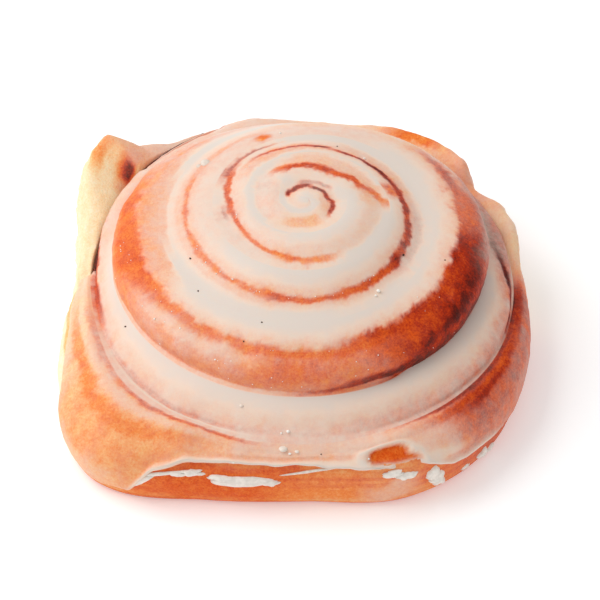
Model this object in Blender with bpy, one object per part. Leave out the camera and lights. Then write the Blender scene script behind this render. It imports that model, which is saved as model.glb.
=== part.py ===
"""A glazed cinnamon roll, baked in a tray beside others and pulled apart.

The roll is a strip of sweet dough rolled up with a cinnamon filling, so its top shows a spiral that runs
clockwise outwards from the heart. Each turn sits lower than the one inside it, like a low stepped cone. The
outermost turn lies in a square tray, so it has flat sides and full corners on the left. The icing is one
poured sheet over the top, thick in the grooves and thin on the shoulders.

The spiral's coordinate is `turn`, the turns rolled since the heart. Turn 0 points right (+X), and a quarter
turn later it points to the front (-Y), then left, then back. Sizes are in millimetres, and the meshes are
made in metres. The origin is the middle of the roll's box, on the table.
"""

import math

import bmesh
import bpy
from mathutils import Vector, noise

MM = 0.001

# Plan: the heart of the spiral, off the middle of the roll, as it was rolled by hand.
HEART_X = 2.165
HEART_Y = 2.97

# One row for each turn, and in each row its value at the right, front, left and back.
SEAM_RADIUS = (
    (0.0, 3.0, 5.2, 6.6),
    (6.8, 8.2, 11.5, 16.6),
    (17.4, 17.8, 19.2, 25.8),
    (26.0, 29.0, 32.2, 38.5),
    (40.6, 41.3, 43.8, 43.4),
    (47.2, 51.0, 49.3, 50.0),
)
GROOVE_HEIGHT = (
    (41.6, 41.2, 40.8, 40.4),
    (40.2, 40.0, 39.2, 38.6),
    (37.6, 37.8, 37.0, 36.0),
    (33.2, 32.5, 32.3, 30.0),
    (23.0, 21.2, 22.5, 23.5),
    (17.5, 16.0, 18.5, 21.0),
)
RIM_HEIGHT = (
    (42.0, 41.8, 41.6, 41.4),
    (41.2, 41.0, 40.6, 40.2),
    (39.4, 39.4, 38.6, 37.8),
    (35.8, 35.0, 35.0, 33.0),
    (33.4, 29.8, 31.8, 27.5),
    (21.5, 18.0, 20.5, 23.6),
    (17.5, 14.5, 17.0, 23.0),
)
RIM_SETBACK = (
    (0.0, 0.8, 1.2, 1.4),
    (1.4, 1.5, 1.6, 1.8),
    (2.0, 2.2, 2.6, 3.0),
    (3.4, 3.6, 4.4, 4.0),
    (5.0, 5.0, 6.0, 3.5),
    (3.0, 3.0, 3.0, 2.0),
    (3.0, 3.6, 6.5, 6.5),
)
SEAM_BULGE = (
    (0.0, 0.0, 0.0, 0.0),
    (0.0, 0.0, 0.0, 0.0),
    (0.0, 0.0, 0.0, 0.0),
    (0.0, 0.0, 0.2, 0.5),
    (0.9, 0.8, 1.1, 0.1),
    (0.3, 0.3, 0.3, 0.3),
)

# The last turn lies in the corner of a square tray: its seam is fuller at the front left.
CORNER_FULLNESS = 2.2
CORNER_START = 5.25
CORNER_END = 5.5

# The last turn's outline about the heart, at each sixteenth of a turn, from the back left round to the tail.
OUTLINE_START = 5.6875
OUTLINE_STEPS = 16.0
OUTLINE = (
    54.2, 51.1, 51.1,
    51.6, 52.6, 52.5, 55.6,
    59.4, 60.3, 57.0, 61.0,
    70.6, 62.9, 56.4,
)
ICED = 0.9
UNDERCUT = 1.2
FOOT_HEIGHT = 1.4
SOLE_INSET = 1.0

# The strip: it ends at the back left, and the last turn has no neighbour outside it.
SAMPLES_PER_TURN = 36
EVEN_SAMPLES = 237
LAST_SEAM_SAMPLE = 204
LAST_SEAM_END = LAST_SEAM_SAMPLE / SAMPLES_PER_TURN
OPEN_OUT = 0.07
TREAD_SWELL = 0.9

# The tail, as rows of turn, outline, rim height and rim setback. Its top was pulled off with the roll on its
# left, up to a torn face, and the crust of its side stands up there as a tip.
TAIL = (
    (6.5, 56.4, 17.0, 6.5),
    (6.5278, 57.2, 17.6, 6.2),
    (6.5556, 60.4, 20.4, 4.2),
    (6.5833, 65.2, 24.6, 2.2),
    (6.597, 66.4, 27.0, 1.8),
    (6.607, 66.0, 28.6, 1.8),
    (6.62, 60.4, 24.4, 2.0),
    (6.641, 57.2, 24.0, 2.0),
    (6.6667, 56.0, 24.0, 2.0),
)
TAIL_START = TAIL[0][0]
STRIP_END = TAIL[-1][0]
TAIL_TURNS = tuple(row[0] for row in TAIL[4:])
STRIP_SAMPLES = EVEN_SAMPLES + len(TAIL_TURNS)
TORN_FACE_FOOT = 5.594
TORN_FACE_TOP = 5.609
TORN_FACE_RISE = 4.2

# The back: a raised shoulder next to the tail, and at the back right a torn ledge and a lump of crumb. Each
# has four marks along the strip, between which it rises to its outline, rim height and rim setback.
BACK_FORMS = (
    ((5.5, 5.6, 5.672, 5.73), 55.4, 24.6, 2.0),
    ((5.77, 5.84, 5.885, 5.905), 53.6, 24.5, 1.3),
    ((5.905, 5.935, 5.95, 5.99), 54.2, 20.8, 1.6),
)

# Relief of the surface, and where the side is torn crumb, not crust: the left and the back right.
CRUST_RELIEF = 0.22
CRUST_BUMP = 7.0
CRUST_SEED = 3.0
TORN_RELIEF = 0.7
TORN_BUMP = 3.0
TORN_SEED = 11.0
TORN_SINK = 0.5
TORN_LEFT = (6.43, 6.5)
TORN_BACK = (5.7, 5.76, 5.96, 6.0)

# The seam is fused up to the curl in the heart. From there a sheet of filling runs in it.
SEAM_START_SAMPLE = 22
SEAM_START = SEAM_START_SAMPLE / SAMPLES_PER_TURN
FILLING_THICK = 0.7
FIT_GAP = 0.35
SEAM_WIDTH = FILLING_THICK + 2 * FIT_GAP
FILLING_TOP_DROP = 0.4
FILLING_BASE = 0.4
SEAM_LEAN = 2.5

# The icing: it ends on the last turn's side, at one row of that turn's profile.
ICING_GAP = 0.45
ICING_THIN = 0.7
ICING_POOL = 1.5
GROOVE_SHIFT = 0.6
POOL_STEP = 0.12
ICING_END_SAMPLE = 234
ICING_EDGE_ROW = 6
ICING_EDGE_WAVE = 0.05
ICING_EDGE_WAVES = (38.0, 17.0)
ICING_DRAWN_BACK = 0.2
DRAWN_BACK_LEFT = (6.36, 6.46)
DRAWN_BACK_LEDGE = (5.78, 5.84, 5.89, 5.91)
GROOVE_GAP = 0.15
FULL_POOL_WIDTH = (2.0, 8.0)
TALL_STEP = (1.5, 4.0)
SLOT_OPENING = 0.05

# Rows across a layer, as shares of its profile, and how deep the icing pools at each of them.
ROW_SHARES = (0.0, 0.1, 0.24, 0.42, 0.56, 0.66, 0.76, 0.88, 1.0)
ROW_POOL = (0.7, 1.0, 0.75, 0.4, 0.1, 0.0, 0.0, 0.25, 0.7)
LAST_ROW = len(ROW_SHARES) - 1

DOUGH_COLOUR = (0.62, 0.30, 0.12, 1.0)
FILLING_COLOUR = (0.17, 0.035, 0.015, 1.0)
ICING_COLOUR = (0.86, 0.80, 0.72, 1.0)


def smooth_step(value, low, high):
    """0 below low, 1 above high, and an easy rise between them."""
    share = min(1.0, max(0.0, (value - low) / (high - low)))
    return share * share * (3.0 - 2.0 * share)


def through(values, at):
    """The smooth curve through a list of values, read at places 0, 1, 2 and so on along it."""
    at = min(max(at, 0.0), len(values) - 1.0)
    start = min(int(at), len(values) - 2)
    share = at - start
    before = values[max(start - 1, 0)]
    here, there = values[start], values[start + 1]
    after = values[min(start + 2, len(values) - 1)]
    slope_here, slope_there = (there - before) / 2, (after - here) / 2
    return (
        (2 * share**3 - 3 * share**2 + 1) * here
        + (share**3 - 2 * share**2 + share) * slope_here
        + (3 * share**2 - 2 * share**3) * there
        + (share**3 - share**2) * slope_there
    )


def by_turn(table, turn):
    """A table's value at a turn, from its four values in each turn."""
    return through([value for row in table for value in row], turn * 4.0)


def window(turn, marks):
    """0 outside the first and last of four marks, 1 between the middle two, and an easy rise between."""
    return smooth_step(turn, marks[0], marks[1]) * (1.0 - smooth_step(turn, marks[2], marks[3]))


def in_tail(column, turn):
    """A column of the tail's table, between the rows on either side of a turn."""
    for here, there in zip(TAIL, TAIL[1:]):
        if turn < there[0]:
            share = (turn - here[0]) / (there[0] - here[0])
            return here[column] + (there[column] - here[column]) * share
    return TAIL[-1][column]


def outline_radius(turn):
    """Distance from the heart to the widest part of the side, in the direction of a turn."""
    if turn >= TAIL_START:
        return in_tail(1, turn) - ICED
    reach = through(OUTLINE, (turn - OUTLINE_START) * OUTLINE_STEPS)
    for marks, outline, _, _ in BACK_FORMS:
        reach += (outline - reach) * window(turn, marks)
    return reach - ICED


def layer_width(turn):
    """How wide the dough is at a turn, from its inner seam to its outer edge."""
    inner = edge_of_layer(turn - 1.0)[0] + SEAM_WIDTH if turn > 1.0 else 0.0
    return edge_of_layer(turn)[0] - inner


def tallness(drop):
    """0 for a low step between two turns, which is a soft slope, and 1 for a tall one, which is upright."""
    return smooth_step(drop, *TALL_STEP)


def seam_lean(turn):
    """How much farther in the seam lies at the sole than at its groove."""
    opened = smooth_step(turn, LAST_SEAM_END, LAST_SEAM_END + OPEN_OUT)
    return SEAM_LEAN * smooth_step(turn, 3.8, 4.8) * (1.0 - opened)


def edge_of_layer(turn):
    """(radius, height, rim height, rim setback, bulge) of a layer's outer edge at a turn."""
    open_share = smooth_step(turn, LAST_SEAM_END, LAST_SEAM_END + OPEN_OUT)
    seam = min(turn, LAST_SEAM_END + OPEN_OUT)
    radius = by_turn(SEAM_RADIUS, seam)
    if CORNER_START < seam < CORNER_END:
        corner = (seam - CORNER_START) / (CORNER_END - CORNER_START)
        radius += CORNER_FULLNESS * math.sin(math.pi * corner) ** 2
    height = by_turn(GROOVE_HEIGHT, seam) + TORN_FACE_RISE * smooth_step(seam, TORN_FACE_FOOT, TORN_FACE_TOP)
    bulge = by_turn(SEAM_BULGE, seam)
    radius += open_share * (outline_radius(turn) - UNDERCUT - radius)
    height += open_share * (FOOT_HEIGHT - height)
    bulge += open_share * (UNDERCUT - bulge)
    if turn >= TAIL_START:
        return radius, height, in_tail(2, turn), in_tail(3, turn), bulge
    rim_height, setback = by_turn(RIM_HEIGHT, turn), by_turn(RIM_SETBACK, turn)
    for marks, _, form_height, form_setback in BACK_FORMS:
        share = window(turn, marks)
        rim_height += (form_height - rim_height) * share
        setback += (form_setback - setback) * share
    return radius, height, rim_height, setback, bulge


def b_spline(control, share):
    """A point of the clamped cubic B-spline over control points, share 0 to 1 along it."""
    count = len(control)
    knots = [0.0] * 3 + list(range(count - 2)) + [count - 3.0] * 3
    place = share * (count - 3)
    span = min(int(place) + 3, count - 1)
    points = [control[span - 3 + i] for i in range(4)]
    for level in range(1, 4):
        for i in range(3, level - 1, -1):
            low, high = knots[span - 3 + i], knots[span + 1 + i - level]
            mix = (place - low) / (high - low)
            points[i] = [a + (b - a) * mix for a, b in zip(points[i - 1], points[i])]
    return points[3]


def layer_control(turn):
    """Control points (radius, height) across a layer, from its inner seam over its rim to its outer foot."""
    if turn < 1.0:
        inner, inner_height = 0.0, RIM_HEIGHT[0][0]
    else:
        inner, inner_height = edge_of_layer(turn - 1.0)[:2]
        inner += SEAM_WIDTH * smooth_step(turn - 1.0, SEAM_START, SEAM_START + SLOT_OPENING)
    outer, outer_height, rim_height, setback, bulge = edge_of_layer(turn)
    width = outer - inner
    rim = outer - min(setback, width / 2)
    drop = rim_height - outer_height
    swell = TREAD_SWELL * smooth_step(turn, 0.5, 1.5) * smooth_step(width, 1.5, 9.0)
    slope = (outer - rim) * (1.0 - tallness(drop))

    def tread(share, rise):
        return (
            inner + (rim - inner) * share,
            inner_height + (rim_height - inner_height) * share + rise,
        )

    return [
        (inner, inner_height),
        tread(0.08, swell * 0.5),
        tread(0.35, swell * 1.3),
        tread(0.75, swell),
        (rim + (outer - rim) * 0.35, rim_height + drop * 0.03),
        (outer + bulge - slope * 0.45, rim_height - drop * 0.20),
        (outer + bulge - slope * 0.25, rim_height - drop * 0.62),
        (outer + bulge * 0.35 - slope * 0.10, rim_height - drop * 0.90),
        (outer, outer_height),
    ]


def place(radius, height, turn):
    """A point in space from its radius, height and direction."""
    angle = -2 * math.pi * turn
    return (HEART_X + radius * math.cos(angle), HEART_Y + radius * math.sin(angle), height)


def relief(point, size, seed):
    """Smooth noise between about -1 and 1, with bumps of a size in millimetres."""
    return noise.noise(Vector((point[0] / size + seed, point[1] / size - seed, point[2] / size)))


def torn_share(turn):
    """How far the side is torn crumb: 1 on the left and on the back-right ledge, 0 on the browned front."""
    return smooth_step(turn, *TORN_LEFT) + window(turn, TORN_BACK)


def row_share(turn, row):
    """A row's share of the profile. The row where the icing ends waves along the last turn."""
    share = ROW_SHARES[row]
    if turn < LAST_SEAM_END + OPEN_OUT:
        return share
    edge = ROW_SHARES[ICING_EDGE_ROW]
    quick, slow = ICING_EDGE_WAVES
    wave = ICING_EDGE_WAVE * math.sin(quick * turn) * math.sin(slow * turn + 1.0)
    drawn_back = smooth_step(turn, *DRAWN_BACK_LEFT) + window(turn, DRAWN_BACK_LEDGE)
    here = edge + wave - ICING_DRAWN_BACK * drawn_back
    if row <= ICING_EDGE_ROW:
        return share * here / edge
    return 1.0 - (1.0 - share) * (1.0 - here) / (1.0 - edge)


def dough_point(turn, row):
    """A point on the dough's top or side, with its relief."""
    radius, height = b_spline(layer_control(turn), row_share(turn, row))
    point = place(radius, height, turn)
    inside = 1.0 if 0 < row < LAST_ROW else 0.0
    outer_rows = smooth_step(row, 3, 6)
    torn = torn_share(turn) * outer_rows * inside
    crust = CRUST_RELIEF * relief(point, CRUST_BUMP, CRUST_SEED)
    crumb = TORN_RELIEF * torn * relief(point, TORN_BUMP, TORN_SEED)
    bump = inside * (crust + crumb)
    radius += bump * (0.4 + 0.6 * outer_rows) - torn * TORN_SINK
    height += bump * (1.0 - 0.6 * outer_rows)
    return place(radius, height, turn)


def icing_direction(turn, row):
    """The way the icing lies off the dough: along the normal on tall risers, straight up on low ones."""
    share = row_share(turn, row)
    low, high = max(0.0, share - 0.02), min(1.0, share + 0.02)
    control = layer_control(turn)
    (radius_low, height_low), (radius_high, height_high) = b_spline(control, low), b_spline(control, high)
    across, rise = radius_high - radius_low, height_high - height_low
    length = math.hypot(across, rise) or 1.0
    angle = -2 * math.pi * turn
    drop = edge_of_layer(turn)[2] - edge_of_layer(turn)[1]
    tall = tallness(drop)
    out, up = -rise / length * tall, across / length * tall + 1.0 - tall
    return Vector((out * math.cos(angle), out * math.sin(angle), up)).normalized()


def turn_at(sample):
    """The turn of a sample along the strip; the samples are closer together at the torn face of the tail."""
    if sample > EVEN_SAMPLES:
        return TAIL_TURNS[sample - EVEN_SAMPLES - 1]
    return sample / SAMPLES_PER_TURN


def mesh_object(name, points, faces, material):
    """A closed mesh object from points in millimetres and faces of point numbers."""
    mesh = bpy.data.meshes.new(name)
    work = bmesh.new()
    verts = [work.verts.new((x * MM, y * MM, z * MM)) for x, y, z in points]
    for face in faces:
        ring = []
        for number in face:
            if not ring or ring[-1] != number:
                ring.append(number)
        if len(ring) > 1 and ring[0] == ring[-1]:
            ring.pop()
        if len(ring) > 2:
            work.faces.new([verts[number] for number in ring])
    bmesh.ops.recalc_face_normals(work, faces=work.faces)
    bmesh.ops.triangulate(work, faces=work.faces)
    work.to_mesh(mesh)
    work.free()
    mesh.materials.append(material)
    part = bpy.data.objects.new(name, mesh)
    bpy.context.scene.collection.objects.link(part)
    return part


def build_dough(material):
    """The rolled strip as one solid, fused in the heart and slotted for its filling farther out."""
    points = []
    top = {}
    sole = {}

    def add(point):
        points.append(point)
        return len(points) - 1

    centre_top = add((HEART_X, HEART_Y, RIM_HEIGHT[0][0]))
    centre_sole = add((HEART_X, HEART_Y, 0.0))
    for sample in range(STRIP_SAMPLES + 1):
        turn = turn_at(sample)
        inner_sample = sample - SAMPLES_PER_TURN
        for row in range(LAST_ROW + 1):
            if sample == 0 or (row == 0 and inner_sample < 0):
                top[sample, row] = centre_top
            elif row == 0 and inner_sample <= SEAM_START_SAMPLE:
                top[sample, row] = top[inner_sample, LAST_ROW]
            else:
                top[sample, row] = add(dough_point(turn, row))
        inset = SOLE_INSET * smooth_step(turn, LAST_SEAM_END, LAST_SEAM_END + OPEN_OUT)
        outer = edge_of_layer(turn)[0] - seam_lean(turn) - inset
        inner = layer_control(turn)[0][0] - seam_lean(turn - 1.0)
        if inner_sample < 0:
            sole[sample, 0] = centre_sole
        elif inner_sample <= SEAM_START_SAMPLE:
            sole[sample, 0] = sole[inner_sample, 1]
        else:
            sole[sample, 0] = add(place(inner, 0.0, turn))
        sole[sample, 1] = centre_sole if sample == 0 else add(place(outer, 0.0, turn))

    faces = []
    for sample in range(STRIP_SAMPLES):
        after = sample + 1
        for row in range(LAST_ROW):
            faces.append((top[sample, row], top[sample, row + 1], top[after, row + 1], top[after, row]))
        faces.append((sole[sample, 0], sole[after, 0], sole[after, 1], sole[sample, 1]))
        if sample >= SEAM_START_SAMPLE:
            faces.append((top[sample, LAST_ROW], sole[sample, 1], sole[after, 1], top[after, LAST_ROW]))
        if sample >= SEAM_START_SAMPLE + SAMPLES_PER_TURN:
            faces.append((top[sample, 0], top[after, 0], sole[after, 0], sole[sample, 0]))
    end = [top[STRIP_SAMPLES, row] for row in range(LAST_ROW + 1)]
    faces.append(end + [sole[STRIP_SAMPLES, 1], sole[STRIP_SAMPLES, 0]])
    return mesh_object("dough", points, faces, material)


def build_filling(material):
    """The cinnamon filling: a thin spiral sheet that runs down through the roll in the seam."""
    points = []
    first = SEAM_START_SAMPLE + 3
    last = LAST_SEAM_SAMPLE
    for sample in range(first, last + 1):
        turn = turn_at(sample)
        radius, groove_height = edge_of_layer(turn)[:2]
        peak = groove_height - FILLING_TOP_DROP
        near = radius + FIT_GAP
        far = near + FILLING_THICK
        for reach, height in ((near, FILLING_BASE), (far, FILLING_BASE), (far, peak), (near, peak)):
            lean = seam_lean(turn) * (groove_height - height) / groove_height
            points.append(place(reach - lean, height, turn))
    faces = []
    count = last - first + 1
    for step in range(count - 1):
        for side in range(4):
            beside = (side + 1) % 4
            here, there = 4 * step, 4 * (step + 1)
            faces.append((here + side, there + side, there + beside, here + beside))
    faces.append((0, 1, 2, 3))
    faces.append(tuple(4 * (count - 1) + side for side in range(4)))
    return mesh_object("cinnamon_filling", points, faces, material)


def spread_outwards(points, numbers):
    """Push points outwards where the pool is narrow, so each lies a little farther out than the last."""
    reach = 0.0
    for number in numbers:
        x, y, z = points[number]
        across, along = x - HEART_X, y - HEART_Y
        radius = math.hypot(across, along)
        if radius < reach and radius > 0.0:
            scale = reach / radius
            points[number] = (HEART_X + across * scale, HEART_Y + along * scale, z)
            radius = reach
        reach = radius + POOL_STEP


def build_icing(material):
    """The icing: one sheet over every turn, bridging the grooves, with its edge on the last turn's side."""
    points = []
    under = {}
    over = {}
    opens = ICING_END_SAMPLE - SAMPLES_PER_TURN

    def add_pair(key, base, direction, gap, pool, shift=(0.0, 0.0)):
        low = Vector(base) + direction * gap
        high = low + direction * ICING_THIN + Vector((shift[0], shift[1], pool))
        points.append(tuple(low))
        points.append(tuple(high))
        under[key] = len(points) - 2
        over[key] = len(points) - 1

    up = Vector((0.0, 0.0, 1.0))
    centre = (HEART_X, HEART_Y, RIM_HEIGHT[0][0])
    add_pair("centre", centre, up, ICING_GAP, 0.0)
    for sample in range(ICING_END_SAMPLE + 1):
        turn = turn_at(sample)
        inner_sample = sample - SAMPLES_PER_TURN
        rows = LAST_ROW if sample <= opens else ICING_EDGE_ROW
        depth = ICING_POOL * smooth_step(turn, 0.3, 2.0) * smooth_step(layer_width(turn), *FULL_POOL_WIDTH)
        for row in range(rows + 1):
            if sample == 0 or (row == 0 and inner_sample < 0):
                under[sample, row] = under["centre"]
                over[sample, row] = over["centre"]
            elif row == 0:
                under[sample, row] = under[inner_sample, LAST_ROW]
                over[sample, row] = over[inner_sample, LAST_ROW]
            elif row == LAST_ROW:
                radius, groove_height = edge_of_layer(turn)[:2]
                slot = SEAM_WIDTH * smooth_step(turn, SEAM_START, SEAM_START + SLOT_OPENING)
                room = smooth_step(layer_width(turn + 1.0), *FULL_POOL_WIDTH)
                tall = tallness(edge_of_layer(turn)[2] - groove_height) * room
                middle = place(radius + slot / 2 + GROOVE_SHIFT * tall, groove_height, turn)
                x, y, _ = place(GROOVE_SHIFT * 1.5 * tall, 0.0, turn)
                shift = (x - HEART_X, y - HEART_Y)
                pool = depth * room * ROW_POOL[row]
                add_pair((sample, row), middle, up, ICING_GAP + GROOVE_GAP, pool, shift)
            else:
                add_pair(
                    (sample, row),
                    dough_point(turn, row),
                    icing_direction(turn, row),
                    ICING_GAP,
                    depth * ROW_POOL[row],
                )

    for sample in range(ICING_END_SAMPLE + 1):
        if 2 * SAMPLES_PER_TURN < sample <= opens + SAMPLES_PER_TURN:
            riser_foot = over[sample - SAMPLES_PER_TURN, LAST_ROW - 1]
            spread_outwards(points, [riser_foot] + [over[sample, row] for row in range(4)])

    faces = []
    for sample in range(ICING_END_SAMPLE):
        after = sample + 1
        rows = LAST_ROW if after <= opens else ICING_EDGE_ROW
        for row in range(rows):
            for layer in (under, over):
                near = (layer[sample, row], layer[sample, row + 1])
                faces.append(near + (layer[after, row + 1], layer[after, row]))
    edge = [(opens, row) for row in range(LAST_ROW, ICING_EDGE_ROW, -1)]
    edge += [(sample, ICING_EDGE_ROW) for sample in range(opens, ICING_END_SAMPLE + 1)]
    edge += [(ICING_END_SAMPLE, row) for row in range(ICING_EDGE_ROW - 1, -1, -1)]
    for here, there in zip(edge, edge[1:]):
        faces.append((under[here], under[there], over[there], over[here]))
    return mesh_object("icing", points, faces, material)


def plain_material(name, colour, roughness):
    """A material of one colour."""
    material = bpy.data.materials.new(name)
    material.use_nodes = True
    surface = material.node_tree.nodes["Principled BSDF"]
    surface.inputs["Base Color"].default_value = colour
    surface.inputs["Roughness"].default_value = roughness
    material.diffuse_color = colour
    return material


def main():
    """Clear the scene and build the roll's three parts."""
    for old in list(bpy.data.objects):
        bpy.data.objects.remove(old, do_unlink=True)
    build_dough(plain_material("dough", DOUGH_COLOUR, 0.6))
    build_filling(plain_material("filling", FILLING_COLOUR, 0.5))
    build_icing(plain_material("icing", ICING_COLOUR, 0.3))


main()
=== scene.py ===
"""Looks for the glazed cinnamon roll: crust, torn crumb, filling, icing, dried lobes and sugar crumbs.

The roll's surface is a spiral strip. `turn` counts the turns since the heart (turn 0 points right, and a
quarter turn later is the front), and `share` runs 0 to 1 across the strip, from the groove on its inner side,
over the tread and the rim, to the groove or foot on its outer side. Sizes are in millimetres until a mesh is
made.
"""

import math

import bmesh
import bpy
import numpy as np
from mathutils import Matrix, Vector


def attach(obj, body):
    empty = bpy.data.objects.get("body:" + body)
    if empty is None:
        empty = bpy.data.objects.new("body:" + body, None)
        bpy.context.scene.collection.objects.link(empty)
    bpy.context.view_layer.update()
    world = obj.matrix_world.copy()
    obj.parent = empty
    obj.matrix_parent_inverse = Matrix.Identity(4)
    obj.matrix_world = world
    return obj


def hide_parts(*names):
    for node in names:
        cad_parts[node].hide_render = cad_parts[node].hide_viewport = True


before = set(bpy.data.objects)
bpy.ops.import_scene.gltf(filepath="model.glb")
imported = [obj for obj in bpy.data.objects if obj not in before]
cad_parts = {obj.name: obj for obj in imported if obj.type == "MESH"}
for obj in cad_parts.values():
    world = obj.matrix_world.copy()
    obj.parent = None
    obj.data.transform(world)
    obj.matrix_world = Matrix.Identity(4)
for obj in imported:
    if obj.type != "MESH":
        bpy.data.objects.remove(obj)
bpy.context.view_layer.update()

MM = 0.001

# The roll's form, as in the part's source. The tables hold four values a turn, from the heart outwards.
VALUES_A_TURN = 4.0
HEART_X = 2.165
HEART_Y = 2.97
SEAM_RADIUS = (
    (0.0, 3.0, 5.2, 6.6),
    (6.8, 8.2, 11.5, 16.6),
    (17.4, 17.8, 19.2, 25.8),
    (26.0, 29.0, 32.2, 38.5),
    (40.6, 41.3, 43.8, 43.4),
    (47.2, 51.0, 49.3, 50.0),
)
GROOVE_HEIGHT = (
    (41.6, 41.2, 40.8, 40.4),
    (40.2, 40.0, 39.2, 38.6),
    (37.6, 37.8, 37.0, 36.0),
    (33.2, 32.5, 32.3, 30.0),
    (23.0, 21.2, 22.5, 23.5),
    (17.5, 16.0, 18.5, 21.0),
)
RIM_HEIGHT = (
    (42.0, 41.8, 41.6, 41.4),
    (41.2, 41.0, 40.6, 40.2),
    (39.4, 39.4, 38.6, 37.8),
    (35.8, 35.0, 35.0, 33.0),
    (33.4, 29.8, 31.8, 27.5),
    (21.5, 18.0, 20.5, 23.6),
    (17.5, 14.5, 17.0, 23.0),
)
RIM_SETBACK = (
    (0.0, 0.8, 1.2, 1.4),
    (1.4, 1.5, 1.6, 1.8),
    (2.0, 2.2, 2.6, 3.0),
    (3.4, 3.6, 4.4, 4.0),
    (5.0, 5.0, 6.0, 3.5),
    (3.0, 3.0, 3.0, 2.0),
    (3.0, 3.6, 6.5, 6.5),
)
SEAM_BULGE = (
    (0.0, 0.0, 0.0, 0.0),
    (0.0, 0.0, 0.0, 0.0),
    (0.0, 0.0, 0.0, 0.0),
    (0.0, 0.0, 0.2, 0.5),
    (0.9, 0.8, 1.1, 0.1),
    (0.3, 0.3, 0.3, 0.3),
)
CORNER_FULLNESS = 2.2
CORNER_START = 5.25
CORNER_END = 5.5
OUTLINE_START = 5.6875
OUTLINE_VALUES_A_TURN = 16.0
OUTLINE = (
    54.2, 51.1, 51.1,
    51.6, 52.6, 52.5, 55.6,
    59.4, 60.3, 57.0, 61.0,
    70.6, 62.9, 56.4,
)
TAIL = (
    (6.5, 56.4, 17.0, 6.5),
    (6.5278, 57.2, 17.6, 6.2),
    (6.5556, 60.4, 20.4, 4.2),
    (6.5833, 65.2, 24.6, 2.2),
    (6.597, 66.4, 27.0, 1.8),
    (6.607, 66.0, 28.6, 1.8),
    (6.62, 60.4, 24.4, 2.0),
    (6.641, 57.2, 24.0, 2.0),
    (6.6667, 56.0, 24.0, 2.0),
)
TAIL_START = TAIL[0][0]
STRIP_END = TAIL[-1][0]
TORN_FACE_FOOT = 5.594
TORN_FACE_TOP = 5.609
TORN_FACE_RISE = 4.2
BACK_FORMS = (
    ((5.5, 5.6, 5.672, 5.73), 55.4, 24.6, 2.0),
    ((5.77, 5.84, 5.885, 5.905), 53.6, 24.5, 1.3),
    ((5.905, 5.935, 5.95, 5.99), 54.2, 20.8, 1.6),
)
ICED = 0.9
UNDERCUT = 1.2
FOOT_HEIGHT = 1.4
SOLE_INSET = 1.0
LAST_SEAM_END = 204 / 36
OPEN_OUT = 0.07
TREAD_SWELL = 0.9
TORN_LEFT = (6.43, 6.5)
TORN_BACK = (5.7, 5.76, 5.96, 6.0)
SEAM_START = 22 / 36
FILLING_THICK = 0.7
FIT_GAP = 0.35
SEAM_WIDTH = FILLING_THICK + 2 * FIT_GAP
SEAM_LEAN = 2.5
LEAN_TURNS = (3.8, 4.8)
SLOT_OPENS = 0.05
TALL_DROP = (1.5, 4.0)
SWELL_TURNS = (0.5, 1.5)
SWELL_WIDTHS = (1.5, 9.0)
# Control points across a layer. On the tread: how far across, and how much of the swell they take. On the
# side: how much of the bulge and the slope they take, and how far down they lie.
TREAD_POINTS = ((0.08, 0.5), (0.35, 1.3), (0.75, 1.0))
RIM_BEND = 0.35
RIM_CREST = 0.03
SIDE_POINTS = ((1.0, 0.45, 0.2), (1.0, 0.25, 0.62), (0.35, 0.1, 0.9))
SPANS = 6
DEGREE = 3

# The icing's sheet.
ICING_END = 6.5
ICING_OPENS = ICING_END - 1.0
ICING_THIN = 0.95
ICING_POOL = 1.7
RELAX_ROUNDS = 300


def rise(value, low, high):
    """0 below low, 1 above high, and an easy rise between them."""
    share = np.clip((np.asarray(value, float) - low) / (high - low), 0.0, 1.0)
    return share * share * (3.0 - 2.0 * share)


def fall(value, low, high):
    """1 below low, 0 above high, and an easy fall between them."""
    return 1.0 - rise(value, low, high)


def window(value, marks):
    """0 outside the first and last of four marks, 1 between the middle two, and easy slopes between."""
    return rise(value, *marks[:2]) * fall(value, *marks[2:])


def read(table, value, column=1):
    """A column of a table at each value of its first column, in straight lines from row to row."""
    return np.interp(value, [row[0] for row in table], [row[column] for row in table])


def stacked(*parts):
    """Arrays side by side, along a new last axis."""
    return np.stack(np.broadcast_arrays(*parts), axis=-1)


def through(table, where):
    """The smooth curve through a table's values, read at places 0, 1, 2 and so on along it."""
    values = np.asarray(table, float).ravel()
    last = len(values) - 1
    where = np.clip(np.asarray(where, float), 0.0, last)
    start = np.minimum(where.astype(int), last - 1)
    share = where - start
    here, there = values[start], values[start + 1]
    before, after = values[np.maximum(start - 1, 0)], values[np.minimum(start + 2, last)]
    slope_here, slope_there = (there - before) / 2, (after - here) / 2
    return (
        (2 * share**3 - 3 * share**2 + 1) * here
        + (share**3 - 2 * share**2 + share) * slope_here
        + (3 * share**2 - 2 * share**3) * there
        + (share**3 - share**2) * slope_there
    )


def by_turn(table, turn):
    """A table's value at each turn."""
    return through(table, np.asarray(turn, float) * VALUES_A_TURN)


def cell_value(x, y, z, seed):
    """A repeatable value from -1 to 1 for each whole-numbered cell."""
    mixed = (x * 73856093) ^ (y * 19349663) ^ (z * 83492791) ^ (seed * 2971215073)
    mixed = ((mixed ^ (mixed >> 13)) * 1274126177) & 0x7FFFFFFF
    mixed = ((mixed ^ (mixed >> 15)) * 668265263) & 0x7FFFFFFF
    return ((mixed >> 7) & 0xFFFF) / 32767.5 - 1.0


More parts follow.
